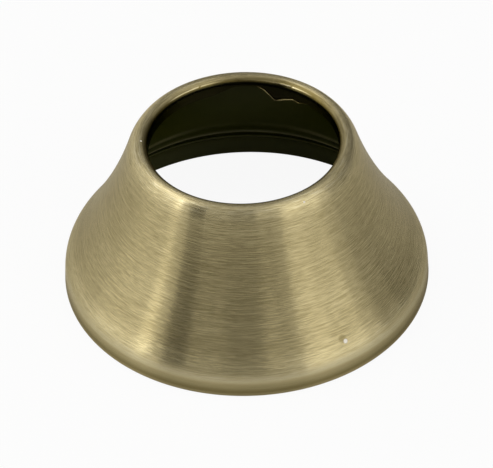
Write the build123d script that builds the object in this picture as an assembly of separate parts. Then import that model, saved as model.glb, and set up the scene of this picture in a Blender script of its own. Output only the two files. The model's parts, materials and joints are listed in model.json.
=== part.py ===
from build123d import *
import os
from math import atan2, cos, degrees, radians, sin, tan

# Bell flange: a cover of pressed brass sheet that hides the hole where a drain tube enters a wall.
# It is one piece of sheet of constant thickness. From the wall outwards it has a short skirt, a rounded
# shoulder, a hollow flared wall, a crowned neck, and a lip folded back into the bore as a short collar
# that the tube slides through. Millimetres, +Z away from the wall, origin at the centre of the wall edge.

# Driving dimensions
tube_diameter = 38.1  # outside of the tube that passes through
tube_clearance = 0.15  # gap between the tube and the collar, all round
base_diameter = 76.2  # outside of the edge that meets the wall
overall_height = 34.9  # from the wall to the top of the lip
sheet = 0.5  # thickness of the sheet
skirt_height = 3.0
skirt_draft = 4.5  # degrees that the skirt leans in
shoulder_radius = 6.5  # outer skin, where the skirt rolls into the flare
sweep_radius = 93.0  # outer skin of the hollow flare
crown_radius = 7.5  # outer skin, where the neck rolls towards the lip
crown_angle = 40.0  # degrees that the wall leans in where the crown ends and the lip's fold starts
lip_bend_radius = 1.15  # inside of the lip's fold
collar_length = 2.0  # straight wall of the collar below the fold

# Sizes that follow from them
base_radius = base_diameter / 2
bore_radius = tube_diameter / 2 + tube_clearance
lip_radius = lip_bend_radius + sheet


def polar(length, angle):
    """A vector in the section, from its length and its angle in degrees above the radial direction."""
    return Vector(length * cos(radians(angle)), length * sin(radians(angle)))


def angle_of(vector):
    """The angle of a vector in the section, in degrees above the radial direction."""
    return degrees(atan2(vector.Y, vector.X))


def centre_touching(centre_a, radius_a, centre_b, radius_b, radius):
    """The centre of the circle of that radius that touches circles a and b from their outer side."""
    reach_a = radius + radius_a
    reach_b = radius + radius_b
    span = centre_b - centre_a
    along = (span.length**2 + reach_a**2 - reach_b**2) / (2 * span.length)
    across = (reach_a**2 - along**2) ** 0.5
    unit = span.normalized()
    return centre_a + unit * along + Vector(unit.Y, -unit.X) * across


# Arc centres of the section: X is the distance from the tube's axis, Y is the height above the wall
lip_centre = Vector(bore_radius + lip_radius, overall_height - lip_radius)
crown_centre = lip_centre - polar(crown_radius - lip_radius, crown_angle)
skirt_top = Vector(base_radius - skirt_height * tan(radians(skirt_draft)), skirt_height)
shoulder_centre = skirt_top - polar(shoulder_radius, skirt_draft)
sweep_centre = centre_touching(shoulder_centre, shoulder_radius, crown_centre, crown_radius, sweep_radius)
flare_angle = angle_of(sweep_centre - shoulder_centre)
neck_angle = angle_of(sweep_centre - crown_centre)


def skin(depth):
    """The section's line at that depth below the outer skin, from the wall edge to the collar's end."""
    wall_edge = Vector(base_radius - depth / cos(radians(skirt_draft)), 0)
    skirt_end = shoulder_centre + polar(shoulder_radius - depth, skirt_draft)
    fold_end = lip_centre - Vector(lip_radius - depth, 0)
    collar_end = fold_end - Vector(0, collar_length)
    return [
        Line(wall_edge, skirt_end),
        CenterArc(shoulder_centre, shoulder_radius - depth, skirt_draft, flare_angle - skirt_draft),
        CenterArc(sweep_centre, sweep_radius + depth, 180 + flare_angle, neck_angle - flare_angle),
        CenterArc(crown_centre, crown_radius - depth, neck_angle, crown_angle - neck_angle),
        CenterArc(lip_centre, lip_radius - depth, crown_angle, 180 - crown_angle),
        Line(fold_end, collar_end),
    ]


def bell_flange():
    """The whole flange: its sheet section turned once round the tube's axis."""
    outer_skin = skin(0)
    inner_skin = skin(sheet)
    wall_cut = Line(outer_skin[0] @ 0, inner_skin[0] @ 0)
    collar_cut = Line(outer_skin[-1] @ 1, inner_skin[-1] @ 1)
    section = make_face(outer_skin + inner_skin + [wall_cut, collar_cut])
    return revolve(Plane.XZ * section, Axis.Z)


os.makedirs("parts", exist_ok=True)
export_step(bell_flange(), "parts/bell_flange.step")
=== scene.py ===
import json
from math import asin, atan2, cos, degrees, pi, radians, sin, tan

import bmesh
import bpy
from mathutils import Matrix, Vector


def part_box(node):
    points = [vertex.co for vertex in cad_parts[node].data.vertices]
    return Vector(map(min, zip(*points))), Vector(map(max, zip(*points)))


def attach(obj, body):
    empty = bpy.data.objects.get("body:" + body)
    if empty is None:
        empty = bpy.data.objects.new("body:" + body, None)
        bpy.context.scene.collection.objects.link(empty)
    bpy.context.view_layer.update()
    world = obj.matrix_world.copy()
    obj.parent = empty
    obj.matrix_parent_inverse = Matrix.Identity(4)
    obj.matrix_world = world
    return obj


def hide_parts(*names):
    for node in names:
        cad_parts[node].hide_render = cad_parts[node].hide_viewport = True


# A drain tube's bell flange in relieved antique brass: one pressed sheet, darkened all over, then brushed
# round its axis and lacquered. Metres, +Z away from the wall, the wall edge on the floor. Degrees round the
# axis are counted from -Y, the camera's side, towards +X.

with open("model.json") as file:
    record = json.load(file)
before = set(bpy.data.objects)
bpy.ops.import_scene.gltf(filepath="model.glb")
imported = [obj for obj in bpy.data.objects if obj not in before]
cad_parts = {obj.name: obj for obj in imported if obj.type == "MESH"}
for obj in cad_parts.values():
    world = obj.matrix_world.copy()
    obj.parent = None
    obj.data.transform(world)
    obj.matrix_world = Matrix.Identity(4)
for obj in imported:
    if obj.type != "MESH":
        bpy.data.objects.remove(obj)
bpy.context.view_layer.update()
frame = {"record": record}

MM = 0.001
NODE = "bell_flange"

# Sizes of the sheet, as in the solid
low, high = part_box(NODE)
collar = next(m for m in frame["record"]["mounts"] if m["name"] == "tube_collar")
base_radius = min(high.x, high.y, -low.x, -low.y)
height = high.z
bore_radius = collar["dims"]["r_mm"] * MM
collar_length = collar["dims"]["length_mm"] * MM
sheet = 0.5 * MM
skirt_height = 3.0 * MM
skirt_draft = 4.5
shoulder_radius = 6.5 * MM
sweep_radius = 93.0 * MM
crown_radius = 7.5 * MM
crown_angle = 40.0
lip_radius = 1.15 * MM + sheet

# How finely the mesh is divided
ROUND_STEPS = 288
STEPS = {
    "skirt": 12, "shoulder": 16, "sweep": 28, "crown": 8, "lip": 16, "fold_end": 6, "collar": 6,
    "inner_sweep": 18, "press_zone": 30,
}
EDGE_SEGMENTS = 2
MERGE_DISTANCE = 0.001 * MM

# Rounding of the two cut edges, and the degrees between faces that make a cut corner
CUT_EDGE_ROUNDING = 0.12 * MM
COLLAR_EDGE_ROUNDING = 0.04 * MM
CUT_CORNER = 60

# Share of the dark finish that the brush took off, against the height above the wall in mm. Beyond 1 the
# brass is rubbed bright. Part of the table is painted light: painted shade in a band just above the
# wall edge, a painted reflection on the edge itself, and painted highlights on the shoulder and the crown
RELIEF_AND_PAINTED_LIGHT_UP = [
    (0, 0.72), (0.4, 0.64), (0.7, 0.38), (1.05, 0.25), (1.4, 0.37), (1.75, 0.5), (2.1, 0.62), (2.8, 0.75),
    (3.15, 0.95), (3.5, 1.24), (4.3, 1.22), (5, 0.98), (6.5, 0.88), (8, 0.7), (9.5, 0.6), (11, 0.64),
    (13, 0.67), (17, 0.65), (21, 0.62), (26, 0.61), (29.5, 0.66), (31.2, 0.7), (32.3, 0.77), (33.2, 0.85),
    (33.9, 0.95), (34.4, 1.06),
]

# What is left of that share, against the degrees round the lip's fold
RELIEF_ROUND_FOLD = [(98, 1.0), (112, 0.65), (124, 0.5), (133, 0.35), (140, 0.1), (147, 0.0)]

# And what is left of it on the lip's inner side, against the degrees round the axis. The low share on the
# camera's side is painted shade
LIP_INNER_START = 114
LIP_INNER_SHARE_AND_PAINTED_SHADE = [
    (0, 0.25), (60, 0.25), (95, 0.7), (108, 1.0), (124, 0.5), (132, 0.25), (155, 0.25), (159, 0.6),
    (172, 0.8), (185, 1.0), (250, 1.0), (275, 0.6), (300, 0.25), (360, 0.25),
]

# Low ridge that the folding tool left on the lip: its place in degrees round the fold, its rise, and the
# share of bare brass on it, against the degrees round the axis. That share is partly a painted highlight
FOLD_LINE = 140
FOLD_LINE_HALF_WIDTH = 7
FOLD_LINE_RISE = 0.05 * MM
FOLD_LINE_BARE_AND_PAINTED_HIGHLIGHT = [
    (132, 0.0), (137, 0.7), (143, 1.5), (147.5, 1.7), (148.75, 0.2), (150, 1.7), (155, 1.6), (157, 0.7),
    (166, 0.5), (178, 0.3), (184, 0.0), (190, 0.0), (194, 0.6), (201, 1.0), (205, 1.5), (206.25, 0.0),
    (207.5, 1.7), (222, 1.6), (232, 0.0),
]

# Rings that the press left inside, in mm: height above the wall, half of the width, rise from the skin, and
# the share of bare brass and painted sheen on the crest at the back and at the sides
PRESS_LINES = [(12.9, 2.1, 0.08, 0.06, 1.2), (9.1, 0.75, 0.3, 0.8, 1.2), (5.7, 0.6, 0.2, 0.5, 0.7)]
PRESS_ZONE_TOP = 15.2 * MM
CREST_START = 0.2
CREST_FULL = 0.9

# How far the rings take the painted sheen of the sides, against the degrees round the axis
PRESS_SIDE_SHEEN_SHARE = [
    (0, 0.2), (90, 0.6), (142, 1.0), (150, 0.75), (162, 0.15), (180, 0.0), (198, 0.12), (207, 0.5),
    (218, 1.0), (270, 0.6), (360, 0.2),
]

# Torn end of the collar, far from the camera: how far in mm it hangs below the even cut, and the share of
# bare brass on it, both against the degrees round the axis
TORN_EDGE = [
    (136, -0.6), (143, 0.15), (147.5, -0.15), (154, 0.7), (159.3, 1.5), (162.5, 0.3), (166, -0.95),
    (170, -1.7), (184, -1.6), (198, 0.0),
]
TORN_BARE = [
    (140, 0.0), (143, 0.4), (148, 0.6), (154, 0.7), (157, 0.6), (160, 0.7), (166, 0.6), (169, 0.4),
    (172, 0.0),
]

# Burr on that torn end, turned into the bore, and the bare share that goes with its full reach
BURR = 0.15 * MM
BURR_FULL_BARE = 0.6

# The collar's reach outwards from the bore, and the share of its length where its end starts
COLLAR_REACH = 1.1 * sheet
COLLAR_END_SHARE = 0.99


def polar(length, angle):
    """A point of the section, from its length and its angle in degrees above the radial direction."""
    return Vector((length * cos(radians(angle)), 0, length * sin(radians(angle))))


def angle_of(vector):
    """The angle of a vector of the section, in degrees above the radial direction."""
    return degrees(atan2(vector.z, vector.x))


def round_angle(point):
    """Degrees round the axis from -Y, the camera's side, counted towards +X."""
    return degrees(atan2(point.x, -point.y)) % 360


def radius_of(point):
    """The distance of a point from the axis."""
    return Vector((point.x, point.y)).length


def centre_touching(centre_a, radius_a, centre_b, radius_b, radius):
    """The centre of the circle of that radius that touches circles a and b from their outer side."""
    reach_a = radius + radius_a
    reach_b = radius + radius_b
    span = centre_b - centre_a
    along = (span.length_squared + reach_a**2 - reach_b**2) / (2 * span.length)
    across = (reach_a**2 - along**2) ** 0.5
    unit = span.normalized()
    return centre_a + unit * along + Vector((unit.z, 0, -unit.x)) * across


def smooth_step(low_end, high_end, value):
    """0 below the low end, 1 above the high end, and a smooth rise between them."""
    share = min(max((value - low_end) / (high_end - low_end), 0), 1)
    return share * share * (3 - 2 * share)


def along_table(table, value):
    """The value that a table of pairs has between its rows, and at its ends beyond them."""
    for (start, before), (end, after) in zip(table, table[1:]):
        if start <= value <= end:
            return before + (after - before) * (value - start) / (end - start)
    return table[0][1] if value < table[0][0] else table[-1][1]


# Arc centres of the section, in the plane through the axis and +X
lip_centre = Vector((bore_radius + lip_radius, 0, height - lip_radius))
crown_centre = lip_centre - polar(crown_radius - lip_radius, crown_angle)
skirt_top = Vector((base_radius - skirt_height * tan(radians(skirt_draft)), 0, skirt_height))
shoulder_centre = skirt_top - polar(shoulder_radius, skirt_draft)
sweep_centre = centre_touching(shoulder_centre, shoulder_radius, crown_centre, crown_radius, sweep_radius)
flare_angle = angle_of(sweep_centre - shoulder_centre)
neck_angle = angle_of(sweep_centre - crown_centre)


def draw_line(bm, vert, end, steps):
    """Carries the section's last vertex to a point in equal steps, and returns the new last one."""
    start = vert.co.copy()
    for step in range(1, steps + 1):
        vert = bmesh.ops.extrude_vert_indiv(bm, verts=[vert])["verts"][0]
        vert.co = start.lerp(end, step / steps)
    return vert


def draw_arc(bm, vert, centre, turn, steps):
    """Carries the section's last vertex round a centre by degrees, upwards from the radial direction."""
    made = bmesh.ops.spin(bm, geom=[vert], cent=centre, axis=(0, -1, 0), angle=radians(turn), steps=steps)
    return next(part for part in made["geom_last"] if isinstance(part, bmesh.types.BMVert))


def draw_section(bm):
    """The sheet's section as one closed line: up the outer skin, round the collar, down the inner skin."""
    wall_edge = Vector((base_radius, 0, 0))
    inner_wall_edge = wall_edge - Vector((sheet / cos(radians(skirt_draft)), 0, 0))
    collar_end = lip_centre - Vector((lip_radius, 0, collar_length))
    inner_collar_end = collar_end + Vector((sheet, 0, 0))
    first = bm.verts.new(wall_edge)
    pen = draw_line(bm, first, skirt_top, STEPS["skirt"])
    pen = draw_arc(bm, pen, shoulder_centre, flare_angle - skirt_draft, STEPS["shoulder"])
    pen = draw_arc(bm, pen, sweep_centre, neck_angle - flare_angle, STEPS["sweep"])
    pen = draw_arc(bm, pen, crown_centre, crown_angle - neck_angle, STEPS["crown"])
    pen = draw_arc(bm, pen, lip_centre, FOLD_LINE - FOLD_LINE_HALF_WIDTH - crown_angle, STEPS["lip"])
    fold_line = draw_arc(bm, pen, lip_centre, FOLD_LINE_HALF_WIDTH, 1)
    pen = draw_arc(bm, fold_line, lip_centre, FOLD_LINE_HALF_WIDTH, 1)
    pen = draw_arc(bm, pen, lip_centre, 180 - FOLD_LINE - FOLD_LINE_HALF_WIDTH, STEPS["fold_end"])
    pen = draw_line(bm, pen, collar_end + Vector((0, 0, BURR)), STEPS["collar"])
    pen = draw_line(bm, pen, collar_end, 1)
    outer_count = len(bm.verts)
    pen = draw_line(bm, pen, inner_collar_end, 1)
    pen = draw_line(bm, pen, inner_collar_end + Vector((0, 0, collar_length)), STEPS["collar"])
    pen = draw_arc(bm, pen, lip_centre, crown_angle - 180, STEPS["lip"])
    pen = draw_arc(bm, pen, crown_centre, neck_angle - crown_angle, STEPS["crown"])
    zone_angle = degrees(asin((sweep_centre.z - PRESS_ZONE_TOP) / (sweep_radius + sheet)))
    pen = draw_arc(bm, pen, sweep_centre, zone_angle - neck_angle, STEPS["inner_sweep"])
    pen = draw_arc(bm, pen, sweep_centre, flare_angle - zone_angle, STEPS["press_zone"])
    pen = draw_arc(bm, pen, shoulder_centre, skirt_draft - flare_angle, STEPS["shoulder"])
    pen = draw_line(bm, pen, inner_wall_edge, STEPS["skirt"])
    bm.edges.new((pen, first))
    return outer_count, fold_line


def press_ring(z):
    """Rise of the press's rings from the skin at a height, and their bare brass and painted sheen, back and
    sides.
    """
    rise = back_bare_and_sheen = side_bare_and_sheen = 0
    for middle, half, crest, crest_back, crest_side in PRESS_LINES:
        share = 1 - abs(z / MM - middle) / half
        crest_share = smooth_step(CREST_START, CREST_FULL, share)
        rise += crest * MM * smooth_step(0, 1, share)
        back_bare_and_sheen += crest_back * crest_share
        side_bare_and_sheen += crest_side * crest_share
    return rise, back_bare_and_sheen, side_bare_and_sheen


def relief_and_painted_light_at(point):
    """How far the brush cut through the dark finish at a point of the outer skin; painted shade and
    highlights too.
    """
    rubbed_and_painted_light = along_table(RELIEF_AND_PAINTED_LIGHT_UP, point.z / MM)
    if point.z < height / 2:
        return rubbed_and_painted_light
    fold = angle_of(point - lip_centre)
    if fold < -90:
        fold += 360
    return rubbed_and_painted_light * along_table(RELIEF_ROUND_FOLD, fold)


def mark_section(bm, layers, outer_count):
    """Writes the brushing, painted light and the sheet's run on the section, and raises the press's rings."""
    bm.verts.ensure_lookup_table()
    run = 0
    for index, vert in enumerate(bm.verts):
        if index:
            run += (vert.co - bm.verts[index - 1].co).length
        vert[layers["along"]] = run
        vert[layers["relief_and_painted_light"]] = relief_and_painted_light_at(vert.co) if index < outer_count else 0
    for index in range(outer_count, len(bm.verts) - 1):
        vert = bm.verts[index]
        down = (bm.verts[index + 1].co - bm.verts[index - 1].co).normalized()
        rise, vert[layers["back_rubbed_and_sheen"]], vert[layers["side_rubbed_and_sheen"]] = press_ring(vert.co.z)
        vert.co += Vector((down.z, 0, -down.x)) * rise


def tear_collar(vert, relief_and_painted_light):
    """Moves a vertex of the collar down to the torn end, and turns the end's bore side into the burr."""
    turn = round_angle(vert.co)
    share = (lip_centre.z - vert.co.z) / collar_length
    vert.co.z -= along_table(TORN_EDGE, turn) * MM * share
    if share > COLLAR_END_SHARE:
        vert[relief_and_painted_light] = along_table(TORN_BARE, turn)
        if radius_of(vert.co) < bore_radius + sheet / 2:
            reach = BURR * min(vert[relief_and_painted_light] / BURR_FULL_BARE, 1)
            vert.co -= Vector((vert.co.x, vert.co.y, 0)).normalized() * reach


def wear_shell(bm, layers):
    """Writes what differs round the axis: rubbed rings and lip, fold's ridge, torn collar, and their painted
    light.
    """
    relief_and_painted_light = layers["relief_and_painted_light"]
    for vert in bm.verts:
        turn = round_angle(vert.co)
        if vert[layers["side_rubbed_and_sheen"]] > 0:
            # Painted sheen on the press's rings, larger at the sides than at the back
            side = along_table(PRESS_SIDE_SHEEN_SHARE, turn)
            vert[relief_and_painted_light] = vert[layers["back_rubbed_and_sheen"]] * (1 - side) + vert[layers["side_rubbed_and_sheen"]] * side
        elif vert[layers["raised"]] > 0.5:
            # The ridge's bare brass, partly a painted highlight
            bare_and_painted_light = along_table(FOLD_LINE_BARE_AND_PAINTED_HIGHLIGHT, turn)
            vert.co += vert.normal * FOLD_LINE_RISE * bare_and_painted_light
            vert[relief_and_painted_light] = max(vert[relief_and_painted_light], bare_and_painted_light)
        elif vert.co.z > lip_centre.z and vert[relief_and_painted_light] > 0:
            fold = degrees(atan2(vert.co.z - lip_centre.z, radius_of(vert.co) - lip_centre.x))
            if fold > LIP_INNER_START:
                # Painted shade on the lip's inner side, lowest on the camera's side
                vert[relief_and_painted_light] *= along_table(LIP_INNER_SHARE_AND_PAINTED_SHADE, turn)
        if radius_of(vert.co) < bore_radius + COLLAR_REACH and vert.co.z < lip_centre.z:
            tear_collar(vert, relief_and_painted_light)


def round_cut_edges(bm):
    """Rounds the corners of the cut at the wall edge and of the cut at the collar's end."""
    corners = [e for e in bm.edges if e.calc_face_angle(0) > radians(CUT_CORNER)]
    at_wall = [e for e in corners if e.verts[0].co.z < height / 2]
    at_collar = [e for e in corners if e.verts[0].co.z > height / 2]
    for edges, rounding in ((at_wall, CUT_EDGE_ROUNDING), (at_collar, COLLAR_EDGE_ROUNDING)):
        bmesh.ops.bevel(
            bm, geom=edges, offset=rounding, offset_type="OFFSET", segments=EDGE_SEGMENTS, profile=0.5,
            affect="EDGES", material=-1,
        )


def make_shell():
    """The flange's mesh: its section turned once round the axis, with wear and painted light on its vertices.
    """
    bm = bmesh.new()
    names = ("relief_and_painted_light", "along", "raised", "back_rubbed_and_sheen", "side_rubbed_and_sheen")
    layers = {name: bm.verts.layers.float.new(name) for name in names}
    outer_count, fold_line = draw_section(bm)
    fold_line[layers["raised"]] = 1
    mark_section(bm, layers, outer_count)
    bmesh.ops.spin(
        bm, geom=bm.verts[:] + bm.edges[:], cent=(0, 0, 0), axis=(0, 0, 1), angle=2 * pi,
        steps=ROUND_STEPS, use_merge=True,
    )
    bmesh.ops.remove_doubles(bm, verts=bm.verts, dist=MERGE_DISTANCE)
    bmesh.ops.recalc_face_normals(bm, faces=bm.faces)
    bm.normal_update()
    wear_shell(bm, layers)
    round_cut_edges(bm)
    for face in bm.faces:
        face.smooth = True
        brushed = any(v[layers["relief_and_painted_light"]] > 0 for v in face.verts)
        inside = any(v[layers["side_rubbed_and_sheen"]] > 0 for v in face.verts)
        face.material_index = 0 if brushed and not inside else 1
    mesh = bpy.data.meshes.new("brass_shell")
    bm.to_mesh(mesh)
    bm.free()
    return mesh


def linear(hex_colour):
    """An sRGB hex colour as linear red, green, blue and alpha."""
    shares = [int(hex_colour[i : i + 2], 16) / 255 for i in (1, 3, 5)]
    return [s / 12.92 if s <= 0.04045 else ((s + 0.055) / 1.055) ** 2.4 for s in shares] + [1]


def add(tree, kind, inputs=None, **settings):
    """Adds a node with its settings. Each input is a value, or the socket that feeds it."""
    node = tree.nodes.new(kind)
    for name, value in settings.items():
        setattr(node, name, value)
    for name, value in (inputs or {}).items():
        if isinstance(value, bpy.types.NodeSocket):
            tree.links.new(value, node.inputs[name])
        else:
            node.inputs[name].default_value = value
    return node


def new_material(name):
    """An empty node material and its tree."""
    material = bpy.data.materials.new(name)
    material.use_nodes = True
    material.node_tree.nodes.clear()
    return material, material.node_tree


# Colours of the brushed brass: bare, under its dark finish, rubbed bright, and the tint of its grazing gloss.
# The rubbed bright colour also paints highlights and sheen
BRASS = "#C3B589"
PATINA = "#685A29"
RUBBED_BRIGHT_AND_PAINTED_HIGHLIGHT = "#DFD5B4"
BRASS_SHEEN = "#ECE6D8"
BRIGHT_START = 1.0
BRIGHT_FULL = 1.8

# Colours of the blackened brass: low in the bell with painted sheen, up the bell, in the collar as painted
# shade, and its grazing gloss
BLACKENED_LOW_WITH_PAINTED_SHEEN = "#7A7B54"
BLACKENED = "#595A3F"
COLLAR_PAINTED_SHADE = "#423E26"
BLACKENED_SHEEN = "#AEB290"

# Heights above the wall where the colour darkens: up the bell, as its painted sheen fades, and again towards
# the collar, into painted shade
BELL_DARK_LOW = 17.0 * MM
BELL_DARK_HIGH = 28.0 * MM
COLLAR_DARK_LOW = 28.5 * MM
COLLAR_DARK_HIGH = 30.0 * MM

# Gloss: brushed brass, drawn out fully across its strokes, under a thin lacquer, and smoother blackened brass
BRUSHED_ROUGHNESS = 0.27
BRUSHED_STRETCH = 1.0
QUARTER_TURN = 0.25
LACQUER_WEIGHT = 0.1
LACQUER_ROUGHNESS = 0.25
BLACKENED_ROUGHNESS = 0.2

# Small damage on the outer skin: a white chip, partly a painted glint, with painted shade beside it, two
# nicks on the lip, a scratch up the wall
CHIP = Vector((19.15, -30.5, 7.1)) * MM
CHIP_RADIUS = 0.58 * MM
CHIP_WHITE_AND_PAINTED_GLINT = "#F5EEDF"
BUMP_PAINTED_SHADE = Vector((18.55, -30.45, 7.75)) * MM
BUMP_PAINTED_SHADE_RADIUS = 1.1 * MM
BUMP_PAINTED_SHADE_SHARE = 0.45
NICKS = [Vector((-20.44, -0.21, 34.85)) * MM, Vector((11.5, -19.2, 33.98)) * MM]
NICK_RADIUS = 0.25 * MM
SCRATCH_ROUND = -19.5
SCRATCH_WIDTH = 0.12 * MM
SCRATCH_LOW = 19.0 * MM
SCRATCH_HIGH = 33.0 * MM
SCRATCH_SHARE = 0.25

# Strokes of the brush: length round the axis and width across it. Real strokes are finer than the picture can
# show, so they are drawn as coarse as the photo's finest visible ones
SHORT_LENGTH = 1.8 * MM
SHORT_WIDTH = 0.16 * MM
LONG_LENGTH = 7.0 * MM
LONG_WIDTH = 0.2 * MM
LONG_SHARE = 0.5

# Broad bands between the strokes
BAND_LENGTH = 16.0 * MM
BAND_WIDTH = 0.9 * MM
BAND_SHARE = 0.12
BAND_DETAIL = 2.0
BAND_ROUGHNESS = 0.6

# On the shoulder, and below it, the strokes are buffed down to a share
BUFFED_LOW = 3.5 * MM
BUFFED_HIGH = 6.5 * MM
BUFFED_SHARE = 0.3

# Range of the strokes' noise, the factors on the brass that it stands for, and the depth of the strokes
NOISE_LOW = 0.3
NOISE_MIDDLE = 0.5
NOISE_HIGH = 0.7
SHADE_LOW = 0.64
SHADE_HIGH = 1.36
STROKE_DEPTH = 0.08 * MM
STROKE_BUMP = 0.7


def near(tree, place, point, radius):
    """A soft mask: 1 within half of the radius from a point, 0 beyond it."""
    distance = add(tree, "ShaderNodeVectorMath", {0: place, 1: point}, operation="DISTANCE").outputs["Value"]
    return add(
        tree, "ShaderNodeMapRange", {"Value": distance, "From Min": radius, "From Max": radius / 2},
        interpolation_type="SMOOTHSTEP",
    ).outputs["Result"]


def stroke_layer(tree, ring, length, width, detail=0.0, roughness=0.5):
    """One layer of strokes: noise drawn out to a length round the axis and a width across it."""
    place = add(
        tree, "ShaderNodeMapping", {"Vector": ring, "Scale": (1 / length, 1 / length, 1 / width)}
    ).outputs["Vector"]
    return add(
        tree, "ShaderNodeTexNoise",
        {"Vector": place, "Scale": 1.0, "Detail": detail, "Roughness": roughness},
    ).outputs["Fac"]


def brush_strokes(tree, split, along):
    """The brush's strokes as one grey value: short and long ones with broad bands, buffed at the shoulder."""
    ring = add(
        tree, "ShaderNodeCombineXYZ", {"X": split.outputs["X"], "Y": split.outputs["Y"], "Z": along}
    ).outputs["Vector"]
    short = stroke_layer(tree, ring, SHORT_LENGTH, SHORT_WIDTH)
    long = stroke_layer(tree, ring, LONG_LENGTH, LONG_WIDTH)
    bands = stroke_layer(tree, ring, BAND_LENGTH, BAND_WIDTH, BAND_DETAIL, BAND_ROUGHNESS)
    fine = add(
        tree, "ShaderNodeMix", {"Factor": LONG_SHARE, "A": short, "B": long}, data_type="FLOAT"
    ).outputs["Result"]
    strokes = add(
        tree, "ShaderNodeMix", {"Factor": BAND_SHARE, "A": fine, "B": bands}, data_type="FLOAT"
    ).outputs["Result"]
    unbuffed = add(
        tree, "ShaderNodeMapRange",
        {
            "Value": split.outputs["Z"], "From Min": BUFFED_LOW, "From Max": BUFFED_HIGH,
            "To Min": BUFFED_SHARE, "To Max": 1.0,
        },
    ).outputs["Result"]
    return add(
        tree, "ShaderNodeMix", {"Factor": unbuffed, "A": NOISE_MIDDLE, "B": strokes}, data_type="FLOAT"
    ).outputs["Result"]


def scratch_line(tree, place, above):
    """The scratch up the wall, as a share of bare brass that grows towards the lip."""
    across = (cos(radians(SCRATCH_ROUND)), sin(radians(SCRATCH_ROUND)), 0)
    aside = add(tree, "ShaderNodeVectorMath", {0: place, 1: across}, operation="DOT_PRODUCT").outputs["Value"]
    off_line = add(tree, "ShaderNodeMath", {0: aside}, operation="ABSOLUTE").outputs["Value"]
    line = add(
        tree, "ShaderNodeMapRange",
        {
            "Value": off_line, "From Min": 0.0, "From Max": SCRATCH_WIDTH,
            "To Min": SCRATCH_SHARE, "To Max": 0.0,
        },
    ).outputs["Result"]
    growth = add(
        tree, "ShaderNodeMapRange", {"Value": above, "From Min": SCRATCH_LOW, "From Max": SCRATCH_HIGH}
    ).outputs["Result"]
    return add(tree, "ShaderNodeMath", {0: line, 1: growth}, operation="MULTIPLY").outputs["Value"]


def brushed_antique_brass():
    """Relieved antique brass: fine rings of bare brass in a dark finish, with streaks of light across."""
    material, tree = new_material("antique_brass_brushed_lacquered")
    place = add(tree, "ShaderNodeTexCoord").outputs["Object"]
    along = add(tree, "ShaderNodeAttribute", attribute_name="along").outputs["Fac"]
    # Relief also carries painted light: shade by the wall edge and lip, highlights on shoulder, crown, ridge
    relief_and_painted_light = add(tree, "ShaderNodeAttribute", attribute_name="relief_and_painted_light").outputs["Fac"]
    split = add(tree, "ShaderNodeSeparateXYZ", {"Vector": place})
    strokes = brush_strokes(tree, split, along)
    shade = add(
        tree, "ShaderNodeMapRange",
        {
            "Value": strokes, "From Min": NOISE_LOW, "From Max": NOISE_HIGH,
            "To Min": SHADE_LOW, "To Max": SHADE_HIGH,
        },
    ).outputs["Result"]
    bare_and_painted_light = add(tree, "ShaderNodeMath", {0: shade, 1: relief_and_painted_light}, operation="MULTIPLY").outputs["Value"]
    # Painted shade beside the chip, as on the upper side of a small bump
    painted_bump_shade = near(tree, place, BUMP_PAINTED_SHADE, BUMP_PAINTED_SHADE_RADIUS)
    outside_painted_bump_shade = add(
        tree, "ShaderNodeMapRange", {"Value": painted_bump_shade, "To Min": 1.0, "To Max": 1 - BUMP_PAINTED_SHADE_SHARE}
    ).outputs["Result"]
    bare_and_painted_light = add(tree, "ShaderNodeMath", {0: bare_and_painted_light, 1: outside_painted_bump_shade}, operation="MULTIPLY").outputs["Value"]
    scratch = scratch_line(tree, place, split.outputs["Z"])
    bare_and_painted_light = add(tree, "ShaderNodeMath", {0: bare_and_painted_light, 1: scratch}, operation="ADD").outputs["Value"]
    colour = add(
        tree, "ShaderNodeMix", {"Factor": bare_and_painted_light, "A": linear(PATINA), "B": linear(BRASS)}, data_type="RGBA"
    ).outputs["Result"]
    # Beyond 1 the colour turns to rubbed bright brass, which also paints highlights
    bright_share = add(
        tree, "ShaderNodeMapRange", {"Value": bare_and_painted_light, "From Min": BRIGHT_START, "From Max": BRIGHT_FULL}
    ).outputs["Result"]
    colour = add(
        tree, "ShaderNodeMix", {"Factor": bright_share, "A": colour, "B": linear(RUBBED_BRIGHT_AND_PAINTED_HIGHLIGHT)},
        data_type="RGBA",
    ).outputs["Result"]
    # The chip's white is partly a painted glint
    chips = near(tree, place, CHIP, CHIP_RADIUS)
    for nick in NICKS:
        mask = near(tree, place, nick, NICK_RADIUS)
        chips = add(tree, "ShaderNodeMath", {0: chips, 1: mask}, operation="MAXIMUM").outputs["Value"]
    colour = add(
        tree, "ShaderNodeMix", {"Factor": chips, "A": colour, "B": linear(CHIP_WHITE_AND_PAINTED_GLINT)}, data_type="RGBA"
    ).outputs["Result"]
    metal_share = add(tree, "ShaderNodeMath", {0: 1.0, 1: chips}, operation="SUBTRACT").outputs["Value"]
    bump = add(
        tree, "ShaderNodeBump", {"Height": strokes, "Strength": STROKE_BUMP, "Distance": STROKE_DEPTH}
    ).outputs["Normal"]
    round_axis = add(tree, "ShaderNodeTangent", direction_type="RADIAL", axis="Z").outputs["Tangent"]
    metal = add(
        tree, "ShaderNodeBsdfPrincipled",
        {
            "Base Color": colour, "Metallic": metal_share, "Roughness": BRUSHED_ROUGHNESS,
            "Anisotropic": BRUSHED_STRETCH, "Anisotropic Rotation": QUARTER_TURN, "Tangent": round_axis,
            "Normal": bump, "Specular Tint": linear(BRASS_SHEEN), "Coat Weight": LACQUER_WEIGHT,
            "Coat Roughness": LACQUER_ROUGHNESS,
        },
    )
    add(tree, "ShaderNodeOutputMaterial", {"Surface": metal.outputs["BSDF"]})
    return material


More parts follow.
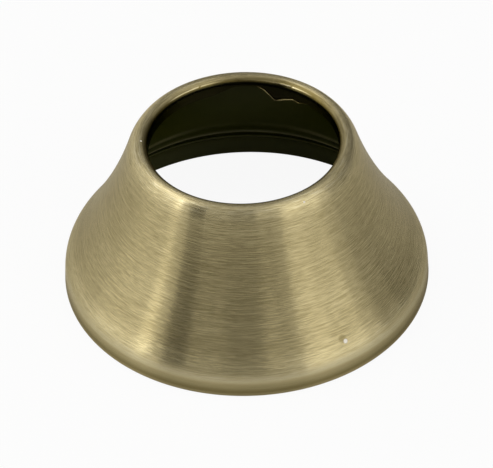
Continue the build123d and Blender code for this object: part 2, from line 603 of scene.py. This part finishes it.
def blackened_brass():
    """Brass with the dark finish left on: nearly black, soft oily gloss, bare on the rings, with painted
    sheen and shade.
    """
    material, tree = new_material("antique_brass_blackened")
    place = add(tree, "ShaderNodeTexCoord").outputs["Object"]
    above = add(tree, "ShaderNodeSeparateXYZ", {"Vector": place}).outputs["Z"]
    # Painted sheen low in the bell, fading up it
    bell_share = add(
        tree, "ShaderNodeMapRange", {"Value": above, "From Min": BELL_DARK_LOW, "From Max": BELL_DARK_HIGH}
    ).outputs["Result"]
    colour = add(
        tree, "ShaderNodeMix", {"Factor": bell_share, "A": linear(BLACKENED_LOW_WITH_PAINTED_SHEEN), "B": linear(BLACKENED)},
        data_type="RGBA",
    ).outputs["Result"]
    # Painted shade in the collar
    collar_share = add(
        tree, "ShaderNodeMapRange",
        {"Value": above, "From Min": COLLAR_DARK_LOW, "From Max": COLLAR_DARK_HIGH},
    ).outputs["Result"]
    colour = add(
        tree, "ShaderNodeMix", {"Factor": collar_share, "A": colour, "B": linear(COLLAR_PAINTED_SHADE)}, data_type="RGBA"
    ).outputs["Result"]
    # Bare brass with painted sheen on the press's rings
    rubbed_and_painted_light = add(tree, "ShaderNodeAttribute", attribute_name="relief_and_painted_light").outputs["Fac"]
    colour = add(
        tree, "ShaderNodeMix", {"Factor": rubbed_and_painted_light, "A": colour, "B": linear(RUBBED_BRIGHT_AND_PAINTED_HIGHLIGHT)}, data_type="RGBA"
    ).outputs["Result"]
    metal = add(
        tree, "ShaderNodeBsdfPrincipled",
        {
            "Base Color": colour, "Metallic": 1.0, "Roughness": BLACKENED_ROUGHNESS,
            "Specular Tint": linear(BLACKENED_SHEEN),
        },
    )
    add(tree, "ShaderNodeOutputMaterial", {"Surface": metal.outputs["BSDF"]})
    return material


shell = bpy.data.objects.new("brass_shell", make_shell())
bpy.context.scene.collection.objects.link(shell)
shell.data.materials.append(brushed_antique_brass())
shell.data.materials.append(blackened_brass())
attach(shell, "root")
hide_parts(NODE)

# Camera: above the floor with a long lens, turned a little on its own axis
IMAGE_WIDTH_PX = 493
FOCAL_PX = 2308.8
SENSOR_WIDTH_MM = 36
CAMERA_ELEVATION = 41.55
CAMERA_ROLL = -1.55
CAMERA_DISTANCE = 478.7 * MM
AIM = Vector((0.14, 0, 9.08)) * MM
CLIP_START = 10 * MM
CLIP_END = 100

lens = bpy.data.cameras.new("camera")
lens.sensor_width = SENSOR_WIDTH_MM
lens.lens = FOCAL_PX / IMAGE_WIDTH_PX * SENSOR_WIDTH_MM
lens.clip_start = CLIP_START
lens.clip_end = CLIP_END
camera = bpy.data.objects.new("camera", lens)
bpy.context.scene.collection.objects.link(camera)
back = Vector((0, -cos(radians(CAMERA_ELEVATION)), sin(radians(CAMERA_ELEVATION))))
camera.matrix_world = (
    Matrix.Translation(AIM + back * CAMERA_DISTANCE)
    @ Matrix.Rotation(radians(90 - CAMERA_ELEVATION), 4, "X")
    @ Matrix.Rotation(radians(CAMERA_ROLL), 4, "Z")
)
bpy.context.scene.camera = camera
bpy.context.scene.view_settings.view_transform = "Standard"

# Floor: plain pale paper, which keeps the flange's shadow. In reflections a painted shadow lies round it, its
# reach measured from the axis
FLOOR_SIZE = 6.0
FLOOR_PAPER = "#E6E6E3"
WHITE = "#FFFFFF"
WHITE_SHARE = 0.93
MIRRORED_SHARE = 0.41
PAINTED_SHADOW_START = 38 * MM
PAINTED_SHADOW_END = 100 * MM


def white_floor():
    """Matt white paper, lifted to white where it is seen, and round the flange a painted shadow in
    reflections.
    """
    material, tree = new_material("white_paper_floor")
    rays = add(tree, "ShaderNodeLightPath").outputs
    place = add(tree, "ShaderNodeTexCoord").outputs["Object"]
    distance = add(tree, "ShaderNodeVectorMath", {0: place}, operation="LENGTH").outputs["Value"]
    # A painted shadow round the flange, seen in reflections only
    clear = add(
        tree, "ShaderNodeMapRange", {"Value": distance, "From Min": PAINTED_SHADOW_START, "From Max": PAINTED_SHADOW_END},
        interpolation_type="SMOOTHSTEP",
    ).outputs["Result"]
    mirrored = add(
        tree, "ShaderNodeMath", {0: rays["Is Glossy Ray"], 1: rays["Is Transmission Ray"]},
        operation="MAXIMUM",
    ).outputs["Value"]
    clear = add(tree, "ShaderNodeMath", {0: clear, 1: MIRRORED_SHARE}, operation="MULTIPLY").outputs["Value"]
    mirrored = add(tree, "ShaderNodeMath", {0: mirrored, 1: clear}, operation="MULTIPLY").outputs["Value"]
    seen = add(
        tree, "ShaderNodeMath", {0: rays["Is Camera Ray"], 1: mirrored}, operation="MAXIMUM"
    ).outputs["Value"]
    share = add(tree, "ShaderNodeMath", {0: seen, 1: WHITE_SHARE}, operation="MULTIPLY").outputs["Value"]
    paper = add(tree, "ShaderNodeBsdfDiffuse", {"Color": linear(FLOOR_PAPER)}).outputs["BSDF"]
    white = add(tree, "ShaderNodeEmission", {"Color": linear(WHITE), "Strength": 1.0}).outputs["Emission"]
    mix = add(tree, "ShaderNodeMixShader", {0: share, 1: paper, 2: white}).outputs["Shader"]
    add(tree, "ShaderNodeOutputMaterial", {"Surface": mix})
    return material


def make_floor():
    """A plain square of paper, level with the wall edge."""
    bm = bmesh.new()
    bmesh.ops.create_grid(bm, x_segments=1, y_segments=1, size=FLOOR_SIZE / 2)
    mesh = bpy.data.meshes.new("floor")
    bm.to_mesh(mesh)
    bm.free()
    floor = bpy.data.objects.new("floor", mesh)
    bpy.context.scene.collection.objects.link(floor)
    mesh.materials.append(white_floor())


make_floor()

# Light: a tent of soft panels in rings, and a faint grey world behind them
LAMP_DISTANCE = 0.9
WORLD_GREY = 0.02

# Each panel's name, degrees round the axis, degrees up and brightness
PANELS = [
    ("left_back_foot", -168, -126, -4, 8, 0.77),
    ("left_wide_foot", -126, -100, -4, 8, 1.1),
    ("left_foot", -100, -67, -4, 8, 1.9),
    ("left_strip_foot", -67, -60, -4, 8, 1.86),
    ("left_edge_foot", -60, -50, -4, 20, 1.05),
    ("front_foot", -38, 22, -4, 20, 0.08),
    ("right_step_foot", 22, 31, -4, 20, 0.45),
    ("right_foot", 31, 50, -4, 8, 1.42),
    ("right_near_foot", 50, 62, -4, 8, 1.9),
    ("right_side_foot", 62, 70, -4, 8, 1.55),
    ("right_turn_foot", 70, 82, -4, 8, 0.93),
    ("right_back_foot", 82, 96, -4, 20, 0.32),
    ("right_far_foot", 96, 168, -4, 20, 0.05),
    ("left_back_low", -168, -126, 8, 20, 0.88),
    ("left_wide_low", -126, -100, 8, 20, 0.7),
    ("left_low", -100, -67, 8, 20, 0.6),
    ("left_strip_low", -67, -60, 8, 20, 1.95),
    ("right_low", 31, 50, 8, 20, 1.71),
    ("right_near_low", 50, 62, 8, 20, 0.9),
    ("right_side_low", 62, 70, 8, 20, 1.35),
    ("right_turn_low", 70, 82, 8, 20, 0.62),
    ("left_back_middle", -168, -126, 20, 42, 0.58),
    ("left_wide_middle", -126, -100, 20, 42, 1.23),
    ("left_middle", -100, -67, 20, 42, 1.52),
    ("left_strip_middle", -67, -60, 20, 42, 2.4),
    ("front_left_middle", -38, -14, 20, 42, 0.77),
    ("front_middle", -14, 10, 20, 42, 0.49),
    ("front_right_middle", 10, 22, 20, 42, 1.18),
    ("right_step_middle", 22, 38, 20, 42, 0.75),
    ("right_middle", 38, 62, 20, 42, 1.57),
    ("right_side_middle", 62, 70, 20, 42, 1.6),
    ("right_turn_middle", 70, 82, 20, 42, 1.3),
    ("right_back_middle", 82, 120, 20, 42, 0.48),
    ("back_right_middle", 120, 168, 20, 42, 0.27),
    ("back_middle", 168, 192, 20, 42, 0.43),
    ("back_left_high", -168, -126, 42, 66, 0.93),
    ("left_high", -126, -60, 42, 66, 1.96),
    ("front_high", -60, 31, 42, 66, 0.28),
    ("right_high", 31, 70, 42, 66, 1.07),
    ("right_turn_high", 70, 82, 42, 66, 0.6),
    ("right_back_high", 82, 120, 42, 66, 0.78),
    ("back_right_high", 120, 168, 42, 66, 0.56),
    ("top", -24, 24, 66, 114, 0.71),
]


def softbox(name, from_azimuth, to_azimuth, from_elevation, to_elevation, brightness):
    """A soft lamp that faces the flange and fills those degrees, as seen from it.

    A lamp overhead isn't narrowed as those in the rings are.
    """
    azimuth = radians((from_azimuth + to_azimuth) / 2)
    elevation = radians((from_elevation + to_elevation) / 2)
    lamp = bpy.data.lights.new(name, "AREA")
    lamp.shape = "RECTANGLE"
    narrowing = cos(elevation) if to_elevation < 90 else 1
    lamp.size = 2 * LAMP_DISTANCE * tan(radians(to_azimuth - from_azimuth) / 2) * narrowing
    lamp.size_y = 2 * LAMP_DISTANCE * tan(radians(to_elevation - from_elevation) / 2)
    lamp.energy = brightness * pi * lamp.size * lamp.size_y
    towards = Vector((sin(azimuth) * cos(elevation), -cos(azimuth) * cos(elevation), sin(elevation)))
    holder = bpy.data.objects.new(name, lamp)
    bpy.context.scene.collection.objects.link(holder)
    holder.location = towards * LAMP_DISTANCE
    holder.rotation_euler = towards.to_track_quat("Z", "Y").to_euler()


for panel in PANELS:
    softbox(*panel)

world = bpy.data.worlds.new("studio")
bpy.context.scene.world = world
world.use_nodes = True
world.node_tree.nodes["Background"].inputs["Color"].default_value = linear(WHITE)
world.node_tree.nodes["Background"].inputs["Strength"].default_value = WORLD_GREY
